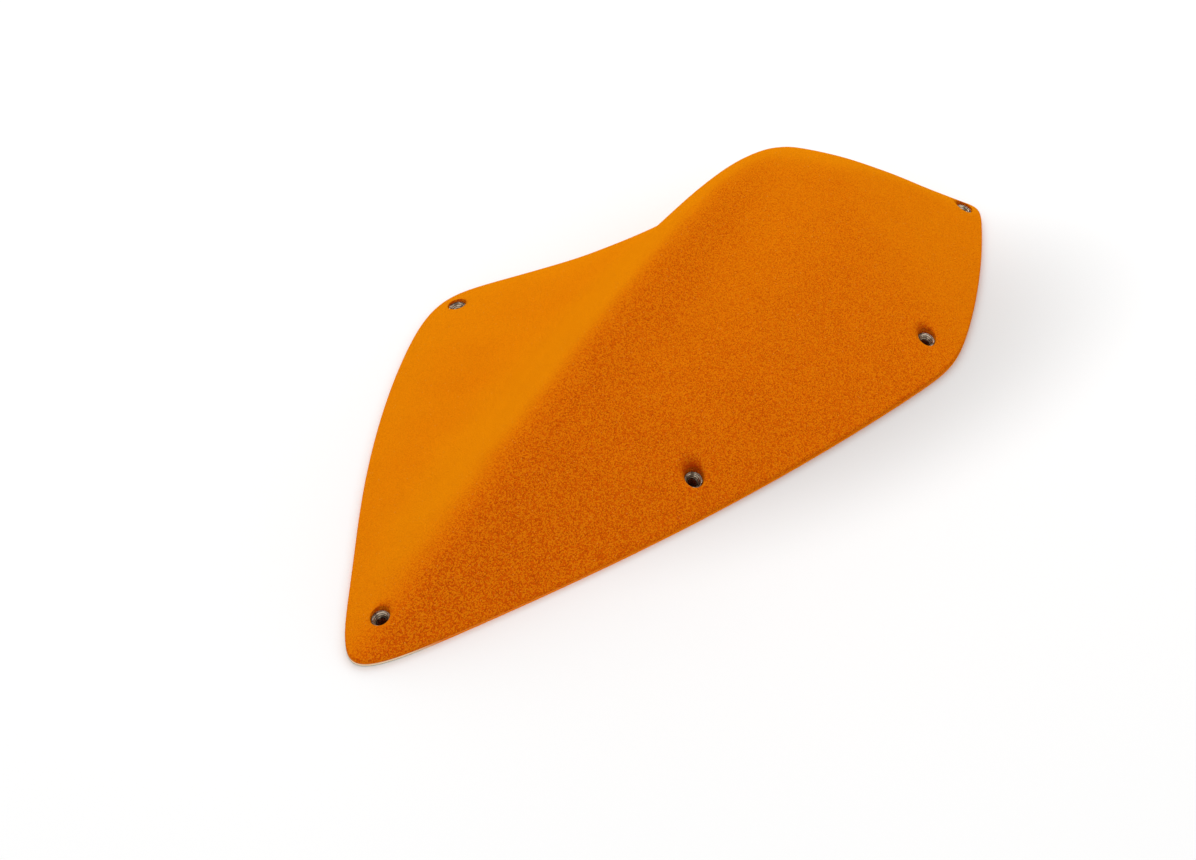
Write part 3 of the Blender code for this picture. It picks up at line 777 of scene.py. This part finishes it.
def cast_resin(finishes):
    """Dark resin filled with powder, poured into a boss."""
    paint = Paint(bpy.data.materials.new("cast_boss_resin"))
    grains = paint.noise(700.0, detail=4.0, roughness=0.6)
    cloudy = paint.noise(45.0, detail=3.0)
    body = paint.coats(finishes.boss, (cloudy.ramp(0.35, 0.7) * 0.3, finishes.orange_deep),
                       (grains.ramp(0.55, 0.8) * 0.2, finishes.laminate))
    return paint.surface(body, 0.5 + grains * 0.2, paint.bump(grains, 0.4, 0.0004))


def turned_steel(finishes):
    """Steel with the rings that a turning tool leaves, on the piece's own UV map, darkened in bands as
    painted shade, and dull stains.
    """
    paint = Paint(bpy.data.materials.new("turned_steel"))
    unwrapped = paint.node("ShaderNodeTexCoord", output="UV")
    _, along, _ = paint.parts(unwrapped)
    turns = along * 440.0
    rings = turns.maths("SINE", turns) * 0.5 + 0.5
    wear = paint.noise(260.0, detail=3.0, roughness=0.6)
    # Painted shade in the bands of the turned rings; the worn patches are real stains
    body = paint.coats(finishes.steel, (rings * 0.7, finishes.steel_stain_and_shade),
                       (wear.ramp(0.42, 0.62) * 0.8, finishes.steel_stain_and_shade))
    return paint.surface(body, 0.14 + wear * 0.16, paint.bump(rings + wear * 0.4, 0.6, 0.0002),
                         {"Metallic": 1.0})


# Pieces of the hold


def layer_body(name, shape, grid, depth, floor=LOW, fillet=0.0, inset=None):
    """Everything deeper than a depth: rings outward from the centre, upright sides and a flat floor.

    The sides stand a depth inside the outline, or another inset. A ring's share of its ray is
    u (1 + c) - c u^2, which crowds the rings towards the outline. The edge is rounded by the fillet f:
    in the last rows the inset is depth + f (1 - cos t) and the surface drops by f (1 - sin t).
    """
    rays, rings = grid
    crowding, first_turn, fillet_rows = 0.65, 75, 6
    angles = shape.ray_angles(rays)
    u = np.linspace(0, 1, rings + 1)[1:]
    share = u * (1 + crowding) - crowding * u ** 2
    radii = share[:, None] * shape.inset_radii(angles, (depth if inset is None else inset) + fillet)
    drop = np.zeros(rings)
    if fillet > 0:
        turn = np.radians(np.linspace(first_turn, 0, fillet_rows))
        rows = [shape.inset_radii(angles, depth + fillet * (1 - math.cos(t))) for t in turn]
        radii = np.vstack([radii, rows])
        drop = np.concatenate([drop, fillet * (1 - np.sin(turn))])
    x, y = shape.points(angles, radii)
    top = shape.part_points(x, y, shape.height(x, y, depth) - drop[:, None])
    foot = top[-1:].copy()
    foot[..., 2] = floor
    centre = np.array(shape.centre)[:, None]
    crown = shape.part_points(*centre, shape.height(*centre, depth))
    bottom = crown.copy()
    bottom[..., 2] = floor
    return closed_body(name, np.vstack([top, foot]), crown, bottom)


def cone(shape, name, label, radius, low, high, straight=0.0):
    """Plug along a hole's axis, straight up to a height and flared by the recess's flare above it."""
    flared = radius + shape.holes.flare * (high - straight)
    profile = ((radius, low), (radius, straight), (flared, high))
    return plug(name, profile, *shape.seats[label], shape.fineness.sides)


def drill(obj, shape, name, radius, low, high=HIGH):
    """Cut a cone out of an object at each screw hole, and return the tools."""
    tools = [cone(shape, name, label, radius, low, high) for label in shape.seats]
    for tool in tools:
        combine(obj, "DIFFERENCE", tool)
    return tools


def dress(obj, material, slot, *nodes):
    """Shade a piece smooth, and give it its material, its body and the nodes it stands for. The slot is not
    used.
    """
    obj.data.shade_smooth()
    obj.data.set_sharp_from_angle(angle=bpy.context.scene.hold_fineness.sharp)
    obj.data.materials.clear()
    obj.data.materials.append(material)
    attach(obj, BODY)
    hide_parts(*nodes)


class PieceOperator:
    """Builds one kind of piece on the packed part's frame."""

    def execute(self, context):
        shape = Shape(context.scene)
        self.build(shape, shape.layers, shape.holes, context.scene.hold_finishes)
        return {"FINISHED"}


def store(obj, name, values):
    """Keep a number for each point of an object."""
    attribute = obj.data.attributes.new(name, "FLOAT", "POINT")
    attribute.data.foreach_set("value", values.astype(np.float32))


def store_painted_light(obj, shape, away):
    """Keep the shares that paint light and shade into the skin's orange at each point.

    The facing_light share weighs how far the normal looks back and up, towards the softbox, between
    two limits that suit the photograph. The sunk share is the dish's depth below the plain surface, and
    weighs the painted shade in the recesses.
    """
    up_weight, darkest, span, full_depth = 0.43, -0.36, 0.86, 0.003
    places, normals = places_and_normals(obj)
    store(obj, "facing_light", np.clip((normals @ np.array((*away, up_weight)) - darkest) / span, 0, 1))
    x, y = (places[:, :2] + shape.middle).T
    depth = shape.height(x, y, 0.0, dished=False) - shape.height(x, y, 0.0)
    store(obj, "sunk", np.clip(depth / full_depth, 0, 1))


def store_overspray(obj, shape):
    """Keep how much orange the edge ring's outer side got, and how bare it stayed by the hold's tip.

    Both are shares of the normal's outward part, split by a smooth step of the distance from the tip.
    """
    places, normals = places_and_normals(obj)
    drawn = places[:, :2] + shape.middle
    outward = drawn - np.array(shape.centre)
    outward /= np.linalg.norm(outward, axis=1, keepdims=True)
    facing = np.clip((normals[:, :2] * outward).sum(axis=1) * 3, 0, 1)
    step = np.clip((np.hypot(*drawn.T) - shape.layers.bare_tip) / shape.layers.bare_tip, 0, 1)
    step = step ** 2 * (3 - 2 * step)
    store(obj, "overspray", facing * step)
    store(obj, "bare", facing * (1 - step))


class HOLD_OT_skin(PieceOperator, bpy.types.Operator):
    """Build the gritty orange skin with its dished recesses."""

    bl_idname = "hold.skin"
    bl_label = "Orange skin"

    def build(self, shape, layers, holes, finishes):
        skin = layer_body("orange_skin", shape, shape.skin_grid, 0.0, shape.floor, layers.fillet)
        core = layer_body("skin_core", shape, shape.inner_grid, layers.skin)
        mouth = holes.flange + layers.gap
        sleeves = drill(core, shape, "sleeve", mouth + layers.skin, -holes.flange_thickness)
        combine(skin, "DIFFERENCE", core)
        recesses = drill(skin, shape, "recess", mouth, -2 * holes.flange_thickness)
        settle(skin, core, *sleeves, *recesses)
        turn = bpy.context.scene.hold_studio.turn
        # The painted light is weighed towards the softbox, which stands away from the camera
        store_painted_light(skin, shape, (math.sin(turn), math.cos(turn)))
        dress(skin, gritty_orange(finishes, shape), "orange_grit", "textured_gelcoat")


class HOLD_OT_laminate(PieceOperator, bpy.types.Operator):
    """Build the glassfibre laminate that carries the skin."""

    bl_idname = "hold.laminate"
    bl_label = "Glassfibre laminate"

    def build(self, shape, layers, holes, finishes):
        outside = layers.skin + layers.gap
        laminate = layer_body("glassfibre_shell", shape, shape.inner_grid, outside, shape.floor)
        core = layer_body("laminate_core", shape, shape.inner_grid, outside + layers.laminate)
        combine(laminate, "DIFFERENCE", core)
        clearance = holes.flange + 2 * layers.gap + layers.skin
        settle(laminate, core, *drill(laminate, shape, "clearance", clearance, -FAR))
        dress(laminate, fibre_laminate(finishes), "laminate", "glassfibre_laminate")


class HOLD_OT_rim(PieceOperator, bpy.types.Operator):
    """Build the flat edge ring on the wall plane."""

    bl_idname = "hold.rim"
    bl_label = "Edge ring"

    def build(self, shape, layers, holes, finishes):
        bevel = 0.0003
        angles = shape.ray_angles(shape.fineness.skin_rays)
        outer, bevelled, inner = (shape.inset_radii(angles, inset)
                                  for inset in (0.0, bevel, layers.rim_width))
        top = layers.rim_thickness
        rows = np.array([shape.part_points(*shape.points(angles, radii), z) for radii, z in (
            (bevelled, 0.0), (inner, 0.0), (inner, top), (bevelled, top), (outer, top - bevel),
            (outer, bevel))])
        ring = mesh_object("edge_ring", rows.reshape(-1, 3), row_quads(*rows.shape[:2], closed=True))
        settle(ring, *drill(ring, shape, "pocket", holes.bore, -FAR, -holes.insert_length))
        store_overspray(ring, shape)
        dress(ring, ground_edge(finishes), "edge_resin", "wall_rim")


class HOLD_OT_bosses(PieceOperator, bpy.types.Operator):
    """Build the resin bosses between the laminate and the wall."""

    bl_idname = "hold.bosses"
    bl_label = "Screw bosses"

    def build(self, shape, layers, holes, finishes):
        gap, sides = layers.gap, shape.fineness.sides
        outside = layers.skin + gap
        material = cast_resin(finishes)
        space = layer_body("boss_space", shape, shape.inner_grid, outside + layers.laminate + gap, 0.0,
                           inset=layers.rim_width + gap)
        under_skin = layer_body("under_skin", shape, shape.inner_grid, outside)
        cup = holes.flange + gap + layers.skin
        sleeve, shoulder = holes.sleeve + gap, -holes.flange_thickness - gap
        wide, base = cup + gap, -holes.insert_length - gap
        hollow = ((holes.bore, -FAR), (holes.bore, base), (sleeve, base), (sleeve, shoulder),
                  (wide, shoulder), (wide, 0.0), (wide + holes.flare * HIGH, HIGH))
        for label, (seat, axis) in shape.seats.items():
            boss = cone(shape, f"resin_boss_{label}", label, holes.boss, -FAR, FAR, straight=FAR)
            leaning = cup * math.hypot(axis[0], axis[1])
            foot = (shape.floor + leaning - seat[2]) / axis[2]
            neck = plug("neck", ((cup, foot), (cup, 0.0)), seat, axis, sides)
            pocket = plug("pocket", hollow, seat, axis, sides)
            for operation, tool in (("INTERSECT", space), ("UNION", neck), ("INTERSECT", under_skin),
                                    ("DIFFERENCE", pocket)):
                combine(boss, operation, tool)
            settle(boss, neck, pocket)
            dress(boss, material, "boss_resin", f"screw_boss_{label}")
        for tool in (space, under_skin):
            bpy.data.objects.remove(tool)


class HOLD_OT_inserts(PieceOperator, bpy.types.Operator):
    """Build the turned steel inserts that line the screw holes."""

    bl_idname = "hold.inserts"
    bl_label = "Steel inserts"

    def build(self, shape, layers, holes, finishes):
        material = turned_steel(finishes)
        bottom, under = -holes.insert_length, -holes.flange_thickness
        profile = ((holes.bore, bottom), (holes.sleeve, bottom), (holes.sleeve, under),
                   (holes.flange, under), (holes.flange, 0.0), (holes.countersink, 0.0),
                   (holes.bore, -holes.countersink_depth))
        rounded = ring_of(profile, holes.edge_rounding)
        for label, (seat, axis) in shape.seats.items():
            rows = turned_points(rounded[::-1], seat, axis, shape.fineness.sides)
            quads = row_quads(*rows.shape[:2], closed=True)
            insert = mesh_object(f"steel_insert_{label}", rows.reshape(-1, 3), quads)
            map_turning(insert, quads, *rows.shape[:2])
            dress(insert, material, "insert_steel", f"screw_insert_{label}")


def map_turning(obj, quads, rows, columns):
    """UV map of a turned piece: u round the axis and v along the profile, from 0 to 1."""
    row, column = np.divmod(quads, columns)
    row = np.where((row == 0) & (row.max(axis=1, keepdims=True) == rows - 1), rows, row)
    column = np.where((column == 0) & (column.max(axis=1, keepdims=True) == columns - 1), columns, column)
    layer = obj.data.uv_layers.new(name="turning")
    layer.data.foreach_set("uv", np.stack([column / columns, row / rows], axis=-1).ravel())


def looking_back(name, data, target, distance, turn, elevation):
    """Camera or lamp that looks at a target from a distance, a turn and an elevation."""
    level = Vector((math.sin(turn), math.cos(turn), 0.0)) * math.cos(elevation)
    away = level + Vector((0.0, 0.0, math.sin(elevation)))
    obj = bpy.data.objects.new(name, data)
    obj.location = Vector(target) + distance * away
    obj.rotation_euler = away.to_track_quat("Z", "Y").to_euler()
    bpy.context.scene.collection.objects.link(obj)
    return obj


class HOLD_OT_studio(bpy.types.Operator):
    """Set the camera, the pale floor and the soft studio lamps."""

    bl_idname = "hold.studio"
    bl_label = "Studio"

    def execute(self, context):
        scene, studio = context.scene, context.scene.hold_studio
        camera = looking_back("photo_camera", bpy.data.cameras.new("photo_camera"), studio.target,
                              studio.distance, studio.turn + math.pi, studio.elevation)
        camera.data.lens = studio.focal
        camera.data.clip_end = 50.0
        scene.camera = camera
        key = looking_back("softbox", bpy.data.lights.new("softbox", "AREA"), (0.0, 0.0, 0.0),
                           studio.key_distance, studio.turn - studio.key_turn, studio.key_elevation)
        key.data.size = studio.key_size
        key.data.energy = studio.key_power

        half, below = studio.floor_size / 2, -0.0001
        corners = np.array([(x, y, below) for x, y in ((-half, -half), (half, -half), (half, half),
                                                       (-half, half))])
        floor = mesh_object("studio_floor", corners, np.array([[0, 1, 2, 3]]))
        floor.data.materials.append(studio_floor(studio))
        scene.world = studio_world(studio)
        scene.view_settings.view_transform = "Standard"
        return {"FINISHED"}


def studio_floor(studio):
    """Matt pale floor with an oval soft shade by the blunt end: 1 at 0.4 of its radii, 0 at 1.25."""
    paint = Paint(bpy.data.materials.new("pale_floor"))
    cloudy = paint.noise(1.5, detail=2.0)
    middle, radii = (0.12, -0.09), (0.28, 0.13)
    oval = paint.mapped(location=(-middle[0] / radii[0], -middle[1] / radii[1], 0.0),
                        scale=(1 / radii[0], 1 / radii[1], 0.0))
    away = paint.node("ShaderNodeVectorMath", {"operation": "LENGTH"}, {0: oval}, output="Value")
    body = paint.coats(studio.floor, (1 - away.ramp(0.4, 1.25), studio.floor_shade),
                       (cloudy.ramp(0.3, 0.7) * 0.03, studio.floor_shade))
    return paint.surface(body, 0.9 + cloudy * 0.05, paint.bump(cloudy, 0.02, 0.001),
                         {"Specular IOR Level": 0.0})


def studio_world(studio):
    """Even soft light of the room, which looks white to the camera and in reflections."""
    paint = Paint(bpy.data.worlds.new("studio_room"), "ShaderNodeOutputWorld")
    kinds = [paint.node("ShaderNodeLightPath", output=f"Is {kind} Ray")
             for kind in ("Camera", "Glossy", "Transmission")]
    seen = kinds[0].maths("MAXIMUM", kinds[0], kinds[1].maths("MAXIMUM", kinds[1], kinds[2]))
    strength = paint.node("ShaderNodeMapRange", None, {"Value": seen, "To Min": studio.ambient,
                                                       "To Max": 1.0})
    return paint.close(paint.node("ShaderNodeBackground", None, {"Strength": strength}))


# The add-on


class HOLD_PT_panel(bpy.types.Panel):
    """Lists the pieces and their settings."""

    bl_idname = "HOLD_PT_panel"
    bl_label = "Macro climbing hold"
    bl_space_type = "VIEW_3D"
    bl_region_type = "UI"
    bl_category = "Hold"

    def draw(self, context):
        for operator in OPERATORS:
            self.layout.operator(operator.bl_idname)
        for name, group in GROUPS.items():
            box = self.layout.box()
            box.label(text=group.__doc__)
            for key in group.__annotations__:
                box.prop(getattr(context.scene, name), key, text=key.replace("_", " ").capitalize())


OPERATORS = (HOLD_OT_studio, HOLD_OT_skin, HOLD_OT_laminate, HOLD_OT_rim, HOLD_OT_bosses,
             HOLD_OT_inserts)


def register():
    """Register the classes and put the settings on the scene."""
    for item in (*GROUPS.values(), *OPERATORS, HOLD_PT_panel):
        bpy.utils.register_class(item)
    for name, group in GROUPS.items():
        setattr(bpy.types.Scene, name, PointerProperty(type=group))


def unregister():
    """Take the settings and the classes away again."""
    for name in GROUPS:
        delattr(bpy.types.Scene, name)
    for item in (HOLD_PT_panel, *OPERATORS, *GROUPS.values()):
        bpy.utils.unregister_class(item)


def main():
    """Register the add-on, then build the studio and every piece."""
    register()
    bpy.ops.hold.studio()
    bpy.ops.hold.skin()
    bpy.ops.hold.laminate()
    bpy.ops.hold.rim()
    bpy.ops.hold.bosses()
    bpy.ops.hold.inserts()


if __name__ == "__main__":
    main()
